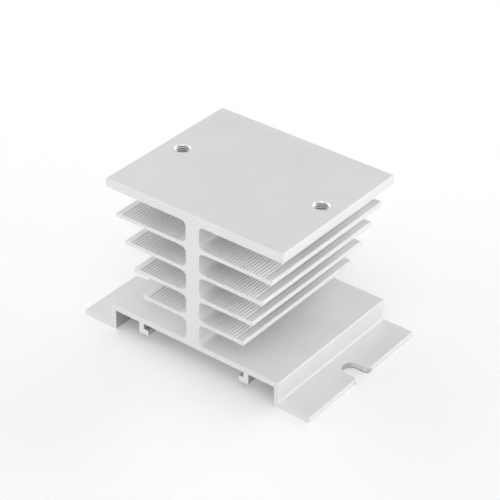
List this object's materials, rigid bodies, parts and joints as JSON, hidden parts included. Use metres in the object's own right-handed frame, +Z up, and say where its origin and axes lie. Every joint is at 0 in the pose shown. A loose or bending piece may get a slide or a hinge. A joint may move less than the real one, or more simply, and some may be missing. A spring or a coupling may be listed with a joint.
{
  "type": "relay heat sink",
  "caption": "Extruded aluminium heat sink for a relay: flat top plate with tapped holes, ribbed fins on a central stem, and a raised base with slotted feet and hooks for a mounting rail.",
  "frame": {"origin": "middle of the rectangle that the feet stand on, at the feet's underside", "axes": "+X across the section, from foot to foot; +Y along the extrusion; +Z up, towards the relay"},
  "size_m": [0.08, 0.05, 0.05],
  "materials": {
    "aluminium": "satin as-extruded faces with lengthwise drawing lines, and brighter sawn ends"
  },
  "bodies": {
    "root": {"heat_sink": "aluminium"}
  },
  "joints": []
}
